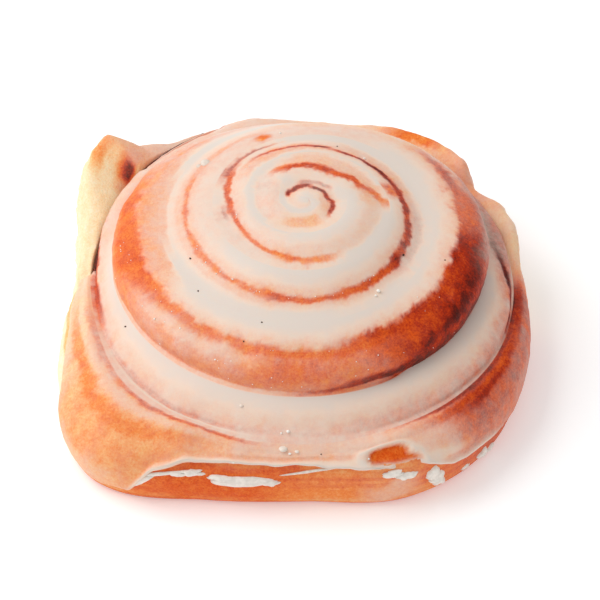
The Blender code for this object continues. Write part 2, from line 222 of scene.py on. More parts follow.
def bumps(points, size, seed, octaves=1):
    """Smooth noise between about -1 and 1 at each point, with bumps of a size in millimetres."""
    total = 0.0
    weight = 0.0
    for octave in range(octaves):
        scaled = np.asarray(points, float) * (2.0**octave / size) + 17.3 * (seed + octave)
        cell = np.floor(scaled).astype(np.int64)
        part = scaled - cell
        part = part * part * part * (part * (part * 6.0 - 15.0) + 10.0)
        layer = 0.0
        for corner in range(8):
            step = np.array([corner & 1, (corner >> 1) & 1, corner >> 2])
            near = np.where(step == 1, part, 1.0 - part).prod(axis=-1)
            where = cell + step
            layer = layer + near * cell_value(where[..., 0], where[..., 1], where[..., 2], seed + 31 * octave)
        total = total + layer * 0.5**octave
        weight += 0.5**octave
    return total / weight * 1.5


def layered(points, layers):
    """The sum of layers of noise, each with its height, size, seed and octaves."""
    return sum(height * bumps(points, size, seed, octaves) for height, size, seed, octaves in layers)


def outline_radius(turn):
    """Distance from the heart to the widest part of the side, in the direction of each turn."""
    reach = through(OUTLINE, (turn - OUTLINE_START) * OUTLINE_VALUES_A_TURN)
    for marks, outline, _, _ in BACK_FORMS:
        reach = reach + (outline - reach) * window(turn, marks)
    return np.where(turn >= TAIL_START, read(TAIL, turn), reach) - ICED


def tallness(drop):
    """0 for a low step between two turns, which is a soft slope, and 1 for a tall, upright one."""
    return rise(drop, *TALL_DROP)


def opening(turn):
    """0 where a layer's outer edge is a seam, and 1 where it is the roll's open side."""
    return rise(turn, LAST_SEAM_END, LAST_SEAM_END + OPEN_OUT)


def slot_width(turn):
    """How wide the filling's slot is at a layer's outer edge: closed in the heart."""
    return SEAM_WIDTH * rise(turn, SEAM_START, SEAM_START + SLOT_OPENS)


def seam_lean(turn):
    """How much farther in the seam lies at the sole than at its groove."""
    return SEAM_LEAN * rise(turn, *LEAN_TURNS) * (1.0 - opening(turn))


def edge_of_layer(turn):
    """Radius, height, rim height, rim setback and bulge of a layer's outer edge at each turn."""
    turn = np.asarray(turn, float)
    opened = opening(turn)
    seam = np.minimum(turn, LAST_SEAM_END + OPEN_OUT)
    radius = by_turn(SEAM_RADIUS, seam)
    corner = np.clip((seam - CORNER_START) / (CORNER_END - CORNER_START), 0.0, 1.0)
    radius = radius + CORNER_FULLNESS * np.sin(math.pi * corner) ** 2
    height = by_turn(GROOVE_HEIGHT, seam)
    height = height + TORN_FACE_RISE * rise(seam, TORN_FACE_FOOT, TORN_FACE_TOP)
    bulge = by_turn(SEAM_BULGE, seam)
    radius = radius + opened * (outline_radius(turn) - UNDERCUT - radius)
    height = height + opened * (FOOT_HEIGHT - height)
    bulge = bulge + opened * (UNDERCUT - bulge)
    rim_height, setback = by_turn(RIM_HEIGHT, turn), by_turn(RIM_SETBACK, turn)
    for marks, _, form_height, form_setback in BACK_FORMS:
        share = window(turn, marks)
        rim_height = rim_height + (form_height - rim_height) * share
        setback = setback + (form_setback - setback) * share
    rim_height = np.where(turn >= TAIL_START, read(TAIL, turn, 2), rim_height)
    setback = np.where(turn >= TAIL_START, read(TAIL, turn, 3), setback)
    return radius, height, rim_height, setback, bulge


def layer_width(turn):
    """How wide the dough is at each turn, from its inner seam to its outer edge."""
    inner = np.where(turn > 1.0, edge_of_layer(turn - 1.0)[0] + SEAM_WIDTH, 0.0)
    return edge_of_layer(turn)[0] - inner


def layer_control(turn):
    """Nine control points (radius, height) across the layer at each turn."""
    turn = np.asarray(turn, float)
    inner_edge = edge_of_layer(turn - 1.0)
    inner = np.where(turn < 1.0, 0.0, inner_edge[0] + slot_width(turn - 1.0))
    inner_height = np.where(turn < 1.0, RIM_HEIGHT[0][0], inner_edge[1])
    outer, outer_height, rim_height, setback, bulge = edge_of_layer(turn)
    width = outer - inner
    rim = outer - np.minimum(setback, width / 2)
    drop = rim_height - outer_height
    swell = TREAD_SWELL * rise(turn, *SWELL_TURNS) * rise(width, *SWELL_WIDTHS)
    slope = (outer - rim) * (1.0 - tallness(drop))
    control = [(inner, inner_height)]
    for share, part in TREAD_POINTS:
        height = inner_height + (rim_height - inner_height) * share + swell * part
        control.append((inner + (rim - inner) * share, height))
    control.append((rim + (outer - rim) * RIM_BEND, rim_height + drop * RIM_CREST))
    for out, slant, down in SIDE_POINTS:
        control.append((outer + bulge * out - slope * slant, rim_height - drop * down))
    control.append((outer, outer_height))
    return np.stack([stacked(*point) for point in control], axis=-2)


def spline_weights(share):
    """The weight of each of nine control points on the clamped cubic B-spline, at each share along it."""
    knots = [0.0] * DEGREE + [float(number) for number in range(SPANS + 1)] + [float(SPANS)] * DEGREE
    where = np.clip(np.asarray(share, float) * SPANS, 0.0, SPANS - 1e-9)
    count = len(knots) - 1
    weights = [((where >= knots[i]) & (where < knots[i + 1])).astype(float) for i in range(count)]
    for level in range(1, DEGREE + 1):
        raised = []
        for i in range(count - level):
            low, high = knots[i + level] - knots[i], knots[i + level + 1] - knots[i + 1]
            left = (where - knots[i]) / low * weights[i] if low > 0 else 0.0
            right = (knots[i + level + 1] - where) / high * weights[i + 1] if high > 0 else 0.0
            raised.append(left + right)
        weights = raised
    return np.stack(weights, axis=-1)


def profile(turn, share):
    """Radius and height of the dough's surface, for turns (n) and shares (n, m)."""
    points = np.einsum("nmk,nkc->nmc", spline_weights(share), layer_control(turn))
    return points[..., 0], points[..., 1]


def place(radius, height, turn):
    """Points in space from their radius, height and direction."""
    angle = -2 * math.pi * np.asarray(turn, float)
    return stacked(HEART_X + radius * np.cos(angle), HEART_Y + radius * np.sin(angle), height)


def torn_share(turn):
    """How far the side is torn crumb: 1 on the left and on the back-right ledge, 0 on the browned front."""
    return rise(turn, *TORN_LEFT) + window(turn, TORN_BACK)


def outwards(turn, share):
    """The way the icing lies off the dough: along the normal on tall risers, straight up on low ones."""
    radius_low, height_low = profile(turn, np.clip(share - SLOPE_STEP, 0.0, 1.0))
    radius_high, height_high = profile(turn, np.clip(share + SLOPE_STEP, 0.0, 1.0))
    across, climb = radius_high - radius_low, height_high - height_low
    length = np.maximum(np.hypot(across, climb), 1e-6)
    edge = edge_of_layer(turn)
    tall = tallness(edge[2] - edge[1])[:, None]
    out, up = -climb / length * tall, across / length * tall + 1.0 - tall
    size = np.maximum(np.hypot(out, up), 1e-6)
    angle = -2 * math.pi * turn[:, None]
    return stacked(out / size * np.cos(angle), out / size * np.sin(angle), up / size)


# Relief of the dough. Layers of noise are given as height, size, seed and octaves.
SLOPE_STEP = 0.02
CRUST_LAYERS = ((0.20, 7.0, 3, 1), (0.06, 1.8, 5, 2))
CRUMB_LAYERS = ((0.62, 3.4, 11, 3), (0.16, 0.9, 13, 2))
CALM_EDGES = (0.0, 0.06, 0.985, 1.0)
SIDE_SHARES = (0.42, 0.7)
SIDEWAYS = 0.6
TORN_DEPTH = 0.5


def dough_surface(turn, share):
    """Points of the dough's top and side for turns (n) and shares (n, m), with their relief."""
    radius, height = profile(turn, share)
    line = turn[:, None]
    points = place(radius, height, line)
    inside = window(share, CALM_EDGES)
    outer = rise(share, *SIDE_SHARES)
    torn = torn_share(line) * outer * inside
    bump = inside * (layered(points, CRUST_LAYERS) + torn * layered(points, CRUMB_LAYERS))
    radius = radius + bump * (1.0 - SIDEWAYS + SIDEWAYS * outer) - torn * TORN_DEPTH
    height = height + bump * (1.0 - SIDEWAYS * outer)
    return place(radius, height, line)


# Colour and cover are painted in strokes along the strip, a later stroke over the earlier ones. A row holds
# the first and last turn, and then six numbers in hundredths: the share at each end, the half width in share,
# the cover, the brownness and the strength. Cover is how much icing lies there, 0 for bare crust. Brownness
# is how dark the crust is, from 0 for pale crumb to 100 for nearly black.
# One stroke below paints shade with its cover and brownness, not the icing's or the crust's own colour.
STROKES = (
    # Broad fields: the tall riser round the middle, the thin glaze on the last two turns, and painted shade on
    # the tread behind the tall riser on the right.
    (3.95, 4.2, 74, 74, 33, 0, 77, 100),
    (4.17, 4.34, 76, 78, 31, 30, 58, 96),
    (4.31, 4.48, 78, 78, 30, 34, 56, 96),
    (4.42, 4.62, 70, 68, 33, 12, 53, 97),
    (4.42, 4.62, 24, 28, 20, 46, 50, 92),
    (4.45, 4.59, 8, 10, 13, 56, 52, 90),
    (4.58, 4.74, 62, 62, 38, 58, 56, 90),
    (4.66, 4.92, 30, 30, 40, 86, 62, 70),
    (4.7, 4.9, 66, 66, 36, 66, 60, 85),
    # Painted shade: this stroke darkens and greys the glaze on the tread at the back right, where the tall
    # riser and the ledge shade it.
    (4.84, 5, 16, 26, 34, 61, 95, 82),
    (4.86, 5.02, 62, 62, 30, 36, 76, 90),
    (5.02, 5.22, 86, 84, 32, 58, 72, 92),
    (5.18, 5.42, 86, 84, 30, 74, 64, 90),
    (5.52, 5.76, 50, 50, 50, 78, 54, 92),
    (5.74, 5.93, 40, 40, 45, 56, 36, 90),
    (5.93, 6.01, 40, 40, 45, 42, 28, 90),
    (6, 6.17, 45, 50, 55, 8, 71, 98),
    (6.15, 6.34, 30, 34, 50, 66, 50, 92),
    (6.31, 6.43, 55, 60, 55, 12, 42, 97),
    # Pinkish veils over the inner turns' left sides, and thin glaze at the far left of the last turn.
    (1.4, 1.62, 45, 50, 45, 80, 64, 85),
    (3.58, 3.84, 24, 14, 30, 80, 62, 80),
    (3.42, 3.58, 14, 14, 20, 88, 66, 75),
    (2.3, 2.6, 30, 36, 22, 88, 60, 70),
    (6.42, 6.56, 30, 30, 45, 46, 30, 92),
    # The crack in the heart.
    (0.55, 0.62, 70, 72, 16, 0, 90, 92),
    (0.6, 0.78, 62, 62, 15, 6, 88, 92),
    (0.7, 0.9, 84, 86, 10, 45, 84, 75),
    (0.78, 1.02, 50, 52, 11, 4, 86, 92),
    (1, 1.12, 40, 44, 16, 58, 46, 85),
    (0.98, 1.14, 60, 74, 11, 3, 78, 95),
    (1.12, 1.4, 60, 58, 46, 74, 34, 60),
    (1.18, 1.35, 62, 60, 28, 33, 42, 85),
    (1.54, 1.62, 60, 60, 26, 90, 92, 55),
    # The second and third turns.
    (1.7, 2, 62, 62, 36, 58, 44, 88),
    (1.64, 1.73, 62, 40, 14, 12, 62, 92),
    (1.67, 1.84, 42, 24, 13.5, 2, 70, 97),
    (1.82, 1.95, 23, 50, 12.5, 2, 66, 97),
    (1.93, 1.99, 50, 98, 17, 8, 60, 92),
    (2.925, 2.965, 6, 30, 20, 10, 62, 92),
    (2.02, 2.2, 60, 60, 20, 78, 50, 70),
    (2.19, 2.31, 84, 80, 13, 14, 50, 94),
    (2.26, 2.42, 80, 62, 8, 8, 58, 95),
    (2.4, 2.5, 60, 58, 8, 6, 62, 95),
    (2.34, 2.5, 94, 90, 12, 84, 78, 70),
    (2.48, 2.62, 58, 92, 13, 8, 66, 94),
    (2.47, 2.51, 80, 86, 8, 40, 78, 75),
    (2.6, 2.76, 44, 40, 26, 52, 52, 85),
    (2.58, 2.7, 98, 92, 4, 18, 78, 85),
    (2.65, 2.78, 62, 30, 8.5, 6, 72, 94),
    (2.76, 2.79, 30, 32, 6, 0, 90, 97),
    (2.8, 3.02, 56, 56, 22, 66, 50, 85),
    (2.79, 2.96, 23, 42, 6.6, 2, 78, 97),
    (2.86, 2.92, 33, 33, 7, 0, 88, 97),
    (2.925, 3.09, 40, 58, 11, 2, 76, 97),
    (2.98, 3.1, 80, 78, 14, 76, 82, 80),
    # The third turn's outer side.
    (3.08, 3.12, 56, 54, 12, 0, 88, 97),
    (3.09, 3.21, 54, 62, 10.5, 2, 68, 98),
    (3.18, 3.33, 62, 55, 7, 6, 63, 94),
    (3.28, 3.31, 58, 56, 8.5, 4, 76, 92),
    (3.3, 3.6, 52, 49, 6.6, 6, 57, 95),
    (3.3, 3.56, 64, 60, 9, 70, 54, 75),
    (3.56, 3.68, 52, 48, 8, 44, 52, 85),
    (3.46, 3.58, 99, 99, 9, 56, 50, 85),
    (3.683, 3.703, 24, 24, 10, 0, 53, 100),
    (3.72, 3.9, 62, 60, 22, 56, 40, 85),
    (3.88, 4.03, 50, 42, 7.5, 10, 74, 92),
    (3.9, 4.02, 80, 76, 14, 30, 80, 85),
    # The crest and the foot of the tall riser.
    (4.01, 4.08, 44, 44, 10, 0, 81, 100),
    (3.945, 4.005, 45, 53, 13, 16, 64, 90),
    (4.05, 4.21, 42, 44, 8.5, 0, 73, 98),
    (4.12, 4.19, 60, 60, 10, 2, 68, 80),
    (4.02, 4.14, 59, 69, 5.5, 0, 88, 85),
    (4, 4.22, 88, 84, 7.5, 2, 87, 95),
    (4.2, 4.26, 86, 96, 6, 8, 82, 80),
    (4.18, 4.52, 48, 46, 5.5, 4, 59, 94),
    (4.22, 4.3, 64, 70, 12, 10, 62, 80),
    (4.24, 4.4, 84, 86, 10, 16, 54, 80),
    (4.26, 4.48, 99, 99, 7, 72, 50, 85),
    (4.3, 4.44, 58, 60, 6, 74, 52, 85),
    (4.42, 4.56, 52, 58, 12, 3, 59, 88),
    (4.48, 4.66, 36, 42, 5.5, 30, 50, 85),
    (4.695, 4.72, 94, 94, 5, 5, 56, 95),
    (4.86, 4.9, 45, 80, 10, 20, 76, 85),
    # The dark cinnamon line on the right, and the smears beside it and on the turn inside it.
    (4.985, 5.052, 34, 96, 8.5, 0, 90, 98),
    (3.88, 4.03, 76, 74, 15, 42, 76, 90),
    (5.02, 5.06, 78, 96, 8, 0, 88, 95),
    (5.07, 5.14, 74, 80, 10, 40, 70, 80),
    (5.3, 5.42, 78, 76, 16, 50, 70, 80),
    (5.44, 5.54, 82, 84, 20, 4, 72, 95),
    (5.3, 5.4, 94, 94, 3, 100, 40, 90),
    # The last turn, and a smear on the turn inside it.
    (5.62, 5.74, 62, 62, 5, 25, 70, 80),
    (5.815, 5.868, 30, 44, 22, 0, 52, 98),
    (5.872, 5.93, 34, 34, 34, 36, 52, 94),
    (6.01, 6.05, 24, 26, 28, 2, 78, 96),
    (6.035, 6.052, 30, 50, 10, 0, 80, 85),
    (6.02, 6.05, 0, 2, 8, 0, 90, 90),
    (6.04, 6.18, 15, 3, 8, 5, 80, 93),
    (6.05, 6.165, 32, 26, 11, 0, 68, 94),
    (5.12, 5.22, 62, 60, 12, 66, 66, 70),
    (6.148, 6.182, 66, 62, 4, 97, 40, 88),
    (6.02, 6.13, 52, 54, 6, 28, 72, 80),
    (6.05, 6.15, 76, 78, 18, 34, 68, 88),
    (6.075, 6.14, 40, 41, 6, 0, 78, 90),
    (6.2, 6.315, 54, 57, 3.5, 100, 40, 85),
    (6.21, 6.32, 46, 50, 4, 40, 50, 75),
    (6.29, 6.395, 5.5, 5, 5, 0, 66, 98),
    (6.39, 6.46, 7, 9, 10, 46, 70, 85),
    (6.28, 6.395, 0, 0, 2.2, 100, 40, 95),
    (6.32, 6.44, 18, 20, 8, 76, 46, 85),
    (6.33, 6.46, 36, 40, 8, 4, 52, 80),
    (6.34, 6.4, 60, 66, 10, 14, 46, 70),
    (6.36, 6.4, 84, 84, 12, 50, 40, 70),
)
# Places where the glaze has come away: turn, share, half sizes, and how brown the crust is in them.
BARE_PATCHES = (
    (6.199, 0.5, 0.0135, 0.115, 0.6),
    (6.188, 0.66, 0.01, 0.15, 0.57),
    (6.182, 0.9, 0.009, 0.15, 0.52),
)
PATCH_WANDER = 0.1
PATCH_EDGE = (0.85, 1.1)
PATCH_RIM = 1.3
PATCH_RIM_HALF = 0.22
# The dough's own strokes, where no icing sheet lies: the torn left side, the tail and the back ledge.
DOUGH_STROKES = (
    (6.262, 6.352, 82, 80, 20, 1, 61, 90),
    (6.2, 6.27, 88, 88, 8, 2, 46, 70),
    (6.184, 6.214, 84, 92, 11, 56, 50, 85),
    (6.4, 6.57, 82, 82, 34, 0, 6, 97),
    (6.405, 6.445, 60, 100, 4.5, 0, 44, 85),
    (6.41, 6.52, 57, 56, 4, 0, 42, 75),
    (6.47, 6.5, 80, 95, 6, 0, 36, 70),
    (6.45, 6.58, 18, 16, 34, 42, 24, 92),
    (6.555, 6.6, 70, 70, 36, 0, 10, 95),
    (6.5, 6.612, 24, 24, 38, 5, 13, 98),
    (6.586, 6.61, 42, 46, 10, 0, 44, 95),
    (6.612, 6.67, 24, 24, 42, 74, 52, 97),
    (6.612, 6.65, 70, 72, 6, 20, 62, 85),
    (6.612, 6.67, 90, 90, 16, 45, 44, 85),
    (6.582, 6.593, 7, 8, 9, 40, 42, 88),
    (6.592, 6.606, 13, 15, 8, 12, 76, 92),
    (6.594, 6.604, 9, 12, 5, 4, 88, 95),
    (6.605, 6.614, 15, 15, 12, 58, 56, 85),
    (5.78, 5.87, 74, 74, 38, 24, 32, 90),
    (5.86, 5.93, 72, 72, 40, 34, 54, 97),
    (5.895, 5.902, 70, 70, 26, 2, 46, 75),
    (5.82, 5.866, 58, 66, 14, 0, 46, 92),
    (5.872, 5.88, 70, 70, 30, 0, 46, 85),
    (5.94, 6, 74, 74, 38, 10, 26, 85),
)
# How a stroke's ends fade, how far its sides wander, how soft they are, and the skirt of thin glaze by it.
STROKE_MARGIN = 0.04
END_FADE = 0.03
END_FADE_PART = 0.35
WANDER_MOST = 0.07
WANDER_PART = 0.55
SOFT_EDGE = 0.11
SOFT_MOST = 0.6
SOFT_OUTSIDE = 0.8
SKIRT = 0.34
SKIRT_REACH = 2.4
THIN_STROKES = (0.06, 0.2)


def stroke_weights(turn, share, wander, line):
    """How strongly a stroke's core and its soft skirt lie on each point; wander roughens its edges."""
    first, last, low, high, half = line
    part = np.clip((turn - first) / (last - first), 0.0, 1.0)
    middle = low + (high - low) * part
    fade = min(END_FADE_PART * (last - first), END_FADE)
    ends = window(turn, (first - fade, first + fade, last - fade, last + fade))
    reach = np.abs(share + wander * min(half * WANDER_PART, WANDER_MOST) - middle) / half
    soft = min(SOFT_EDGE / half, SOFT_MOST)
    core = fall(reach, 1.0 - soft, 1.0 + soft * SOFT_OUTSIDE)
    skirt = SKIRT * fall(half, *THIN_STROKES) * np.exp(-((reach / SKIRT_REACH) ** 2))
    return ends * core, ends * np.maximum(core, skirt)


def lay_strokes(strokes, turn, share, wander, cover, brown):
    """Cover and brownness after a list of strokes."""
    for first, last, *hundredths in strokes:
        low, high, half, stroke_cover, stroke_brown, strength = [value / 100 for value in hundredths]
        near = (turn > first - STROKE_MARGIN) & (turn < last + STROKE_MARGIN)
        line = (first, last, low, high, half)
        core, soft = stroke_weights(turn[near], share[near], wander[near], line)
        cover[near] += strength * soft * (stroke_cover - cover[near])
        brown[near] += strength * core * (stroke_brown - brown[near])
    return cover, brown


# The glaze's cover across a layer where no stroke lies: share and cover.
COVER_ACROSS = (
    (0.0, 1.0), (0.12, 1.0), (0.28, 0.955), (0.42, 0.84), (0.55, 0.83), (0.72, 0.92), (0.9, 1.0), (1.0, 1.0),
)
WANDER_LAYERS = ((0.7, 3.0, 21, 2), (0.5, 0.9, 22, 2))
MOTTLE = (2.2, 23, 3)
SMEARS = (1.7, 27, 3)
SMEAR_STRETCH = (2 * math.pi * 50.0, 5.0)
SMEAR_TURNS = (4.95, 5.1)
PLAIN_BROWN = 0.50


def paint(turn, share, points):
    """Icing cover and crust brownness at each point of the strip, with painted shade on the tread behind the
    tall riser.
    """
    turn, share = np.broadcast_arrays(turn, share)
    wander = layered(points, WANDER_LAYERS)
    mottle = bumps(points, *MOTTLE)
    cover = read(COVER_ACROSS, share) - 0.10 * rise(turn, 5.0, 5.2) * rise(share, 0.35, 0.6)
    brown = PLAIN_BROWN + 0.05 * wander
    cover, brown = lay_strokes(STROKES, turn, share, wander, cover, brown)
    smears = bumps(stacked(turn * SMEAR_STRETCH[0], share * SMEAR_STRETCH[1], 0.0), *SMEARS)
    smears = smears * rise(turn, *SMEAR_TURNS) * rise(share, 0.3, 0.6)
    edged = 4.0 * cover * (1.0 - cover)
    cover = cover + edged * (0.14 * mottle + 0.12 * smears)
    brown = brown + 0.06 * mottle + 0.04 * smears
    return np.clip(cover, 0.0, 1.0), np.clip(brown, 0.0, 1.0)


def patch_weights(turn, share, wander):
    """How far each point lies in a bare patch, how near its rim, and how brown the crust in it is."""
    inside = np.zeros(np.broadcast(turn, share).shape)
    rim = np.zeros_like(inside)
    brown = np.zeros_like(inside)
    for at_turn, at_share, half_turn, half_share, patch_brown in BARE_PATCHES:
        away = np.hypot((turn - at_turn) / half_turn, (share - at_share) / half_share) + PATCH_WANDER * wander
        weight = fall(away, *PATCH_EDGE)
        brown = np.where(weight > inside, patch_brown, brown)
        inside = np.maximum(inside, weight)
        rim = np.maximum(rim, np.exp(-(((away - PATCH_RIM) / PATCH_RIM_HALF) ** 2)))
    return inside, rim * (1.0 - inside), brown


def add_object(name, data):
    """A new object in the scene."""
    made = bpy.data.objects.new(name, data)
    bpy.context.scene.collection.objects.link(made)
    return made


def make_mesh(name, points, faces, attributes, material):
    """A smooth mesh object from points in millimetres that moves with the roll."""
    faces = clean_faces(faces)
    used = sorted({number for face in faces for number in face})
    renumbered = {old: new for new, old in enumerate(used)}
    faces = [[renumbered[number] for number in face] for face in faces]
    mesh = bpy.data.meshes.new(name)
    mesh.from_pydata((np.asarray(points, float)[used] * MM).tolist(), [], faces)
    mesh.validate()
    mesh.polygons.foreach_set("use_smooth", [True] * len(mesh.polygons))
    for label, values in attributes.items():
        layer = mesh.attributes.new(label, "FLOAT", "POINT")
        layer.data.foreach_set("value", np.asarray(values, np.float32).ravel()[used])
    mesh.materials.append(material)
    piece = add_object(name, mesh)
    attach(piece, "root")
    return piece


def clean_faces(faces):
    """Faces as lists of point numbers, with repeated numbers dropped."""
    rings = [[number for at, number in enumerate(face) if number != face[at - 1]] for face in faces]
    return [ring for ring in rings if len(ring) > 2]


def relax(points, links, strength, rounds):
    """Eases each point towards the middle of its neighbours, by its own strength."""
    first, second = links[:, 0], links[:, 1]
    count = len(points)
    degree = np.maximum(np.bincount(first, minlength=count) + np.bincount(second, minlength=count), 1)
    for _ in range(rounds):
        for axis in range(3):
            line = points[:, axis]
            total = np.bincount(first, line[second], count) + np.bincount(second, line[first], count)
            points[:, axis] = line + strength * (total / degree - line)
    return points


# Materials.
class Paint:
    """A node material under construction."""

    def __init__(self, name):
        self.material = bpy.data.materials.new(name)
        self.material.use_nodes = True
        self.tree = self.material.node_tree
        self.surface = self.tree.nodes["Principled BSDF"]

    def node(self, kind, **values):
        """A new node; values set its inputs by name, with _ for a space, and its own settings."""
        made = self.tree.nodes.new(kind)
        for label, value in values.items():
            title = label.replace("_", " ")
            if title in made.inputs:
                self.feed(made.inputs[title], value)
            else:
                setattr(made, label, value)
        return made

    def feed(self, target, value):
        """Link an output to an input, or set the input's value."""
        if isinstance(value, bpy.types.NodeSocket):
            self.tree.links.new(value, target)
        else:
            target.default_value = value

    def finish(self, colour, roughness, **values):
        """Sets or links the surface's colour, roughness and other inputs, with _ in a name for a space."""
        values.update(Base_Color=colour, Roughness=roughness)
        for label, value in values.items():
            self.feed(self.surface.inputs[label.replace("_", " ")], value)

    def attribute(self, label):
        """A point attribute's value."""
        return self.node("ShaderNodeAttribute", attribute_name=label).outputs["Fac"]

    def grain(self, size, detail=3.0, roughness=0.55):
        """Noise between about 0 and 1, with grains of a size in millimetres."""
        where = self.node("ShaderNodeTexCoord").outputs["Object"]
        scale = 1.0 / (size * MM)
        made = self.node("ShaderNodeTexNoise", Vector=where, Scale=scale, Detail=detail, Roughness=roughness)
        return made.outputs["Fac"]

    def maths(self, operation, *values, clamp=False):
        """A math node's result."""
        made = self.node("ShaderNodeMath", operation=operation, use_clamp=clamp)
        for target, value in zip(made.inputs, values):
            self.feed(target, value)
        return made.outputs[0]

    def shift(self, value, noise, amount):
        """A value with noise added, centred on the value."""
        centred = self.maths("SUBTRACT", noise, 0.5)
        return self.maths("MULTIPLY_ADD", centred, amount, value)

    def rise(self, value, low, high):
        """An easy rise from 0 to 1 between two values."""
        made = self.node("ShaderNodeMapRange", interpolation_type="SMOOTHSTEP", clamp=True)
        self.feed(made.inputs["Value"], value)
        made.inputs["From Min"].default_value = low
        made.inputs["From Max"].default_value = high
        return made.outputs["Result"]

    def ramp(self, value, stops):
        """A colour ramp through (place, colour) stops."""
        made = self.node("ShaderNodeValToRGB")
        band = made.color_ramp
        while len(band.elements) < len(stops):
            band.elements.new(0.5)
        for element, (where, colour) in zip(band.elements, stops):
            element.position = where
            element.color = linear(colour)
        self.feed(made.inputs["Fac"], value)
        return made.outputs["Color"]

    def mix(self, share, low, high):
        """Two colours mixed."""
        made = self.node("ShaderNodeMix", data_type="RGBA")
        self.feed(made.inputs["Factor"], share)
        for target, value in ((made.inputs[6], low), (made.inputs[7], high)):
            self.feed(target, linear(value) if isinstance(value, tuple) and len(value) == 3 else value)
        return made.outputs[2]

    def bump(self, height, distance, strength):
        """Fine relief, in millimetres."""
        made = self.node("ShaderNodeBump", Height=height, Distance=distance * MM, Strength=strength)
        self.tree.links.new(made.outputs["Normal"], self.surface.inputs["Normal"])


def linear(colour):
    """A colour given from 0 to 255, as a scene-linear colour with alpha."""
    shares = [part / 255.0 for part in colour]
    return tuple(s / 12.92 if s <= 0.04045 else ((s + 0.055) / 1.055) ** 2.4 for s in shares) + (1.0,)


CRUST_STOPS = (
    (0.00, (254, 242, 214)),
    (0.15, (254, 226, 178)),
    (0.32, (252, 190, 126)),
    (0.48, (246, 138, 54)),
    (0.62, (230, 90, 14)),
    (0.76, (182, 44, 2)),
    (0.88, (112, 22, 4)),
    (1.00, (52, 12, 6)),
)
CREAM = (238, 218, 201)
# The greyer cream lies where the glaze is deepest, by the grooves: partly the deep glaze's own tone over the
# dark filling, partly painted shade of the grooves.
POOL_GREY_AND_SHADE = (226, 213, 202)


def glazed_colour(made):
    """The veil of glaze over the mottled crust: its colour and how far it covers."""
    cover, brown = made.attribute("_cover"), made.attribute("_brown")
    mottled = made.shift(brown, made.grain(1.7, 5.0, 0.66), 0.26)
    speckled = made.shift(mottled, made.grain(0.5, 3.0, 0.7), 0.32)
    crust = made.ramp(speckled, CRUST_STOPS)
    spread = made.maths("MULTIPLY", made.maths("SUBTRACT", 1.0, cover), cover)
    coarse = made.maths("MULTIPLY", made.maths("SUBTRACT", made.grain(1.3, 4.0, 0.65), 0.5), spread)
    fine = made.maths("MULTIPLY", made.maths("SUBTRACT", made.grain(0.38, 2.0, 0.6), 0.5), spread)
    veil = made.maths("MULTIPLY_ADD", coarse, 1.7, cover)
    veil = made.maths("MULTIPLY_ADD", fine, 1.0, veil, clamp=True)
    # Full cover, by the grooves, turns the cream greyer: partly the deep glaze's tone, partly painted shade.
    cream = made.mix(made.rise(cover, 0.90, 1.02), CREAM, POOL_GREY_AND_SHADE)
    return made.mix(veil, crust, cream), veil


# The soft, barely glossy body of baked dough and glaze.
SOFT_BODY = {"Subsurface_Weight": 0.10, "Subsurface_Scale": 1.2 * MM, "Specular_IOR_Level": 0.12}


def icing_material():
    """Icing: cream where it is deep, and the crust shows through where it is thin."""
    made = Paint("icing_glaze")
    colour, veil = glazed_colour(made)
    roughness = made.maths("MULTIPLY_ADD", veil, -0.16, 0.50)
    made.finish(colour, roughness, Subsurface_Radius=(1.0, 0.6, 0.4), **SOFT_BODY)
    bare = made.maths("SUBTRACT", 1.0, veil)
    made.bump(made.maths("MULTIPLY", made.grain(0.7, 3.0, 0.6), bare), 0.28, 0.8)
    return made.material


def dough_material():
    """Baked dough: browned crust, pale torn crumb where brownness is low, and a veil of glaze in places."""
    made = Paint("dough_crust")
    made.finish(glazed_colour(made)[0], 0.58, Subsurface_Radius=(1.0, 0.55, 0.3), **SOFT_BODY)
    made.bump(made.grain(0.6, 4.0, 0.65), 0.3, 0.8)
    return made.material


def filling_material():
    """Cinnamon and sugar, dark and wet."""
    made = Paint("cinnamon")
    made.finish(made.ramp(made.grain(0.8, 3.0, 0.6), ((0.3, (60, 14, 6)), (0.7, (128, 40, 14)))), 0.4)
    made.bump(made.grain(0.5, 3.0, 0.6), 0.2, 0.8)
    return made.material


def plain_material(name, colour, roughness, grain_size=1.0, spread=10):
    """A material of one colour, a little mottled."""
    made = Paint(name)
    darker = tuple(max(0, part - spread) for part in colour)
    mixed = made.mix(made.rise(made.grain(grain_size), 0.35, 0.65), colour, darker)
    made.finish(mixed, roughness, Specular_IOR_Level=0.3)
    made.bump(made.grain(grain_size * 0.5), 0.12, 0.6)
    return made.material


# The dough: finer along the last turn, whose side shows. It lies lower under the icing, most in the heart.
INNER_SAMPLES = 80
OUTER_SAMPLES = 640
DOUGH_SHARES = np.concatenate((np.linspace(0.0, 0.56, 15), np.linspace(0.58, 1.0, 40)))
UNDER_ICING = 0.4
UNDER_POOLS = 0.6
POOLED_TURNS = (3.6, 3.9)
TUCKED = (0.10, 0.04)
TAIL_END_DROP = 2.0
TAIL_END_TURNS = (6.622, 6.655)
TAIL_END_HEIGHTS = (12.0, 22.0)
BAKED_BROWN = 0.55
RIGHT_BROWN = 0.70
RIGHT_TURNS = (5.98, 6.03, 6.12, 6.2)
CRUMB_BROWN = 0.08
SOLE_BROWN = 0.60
DOUGH_COVER = 0.10


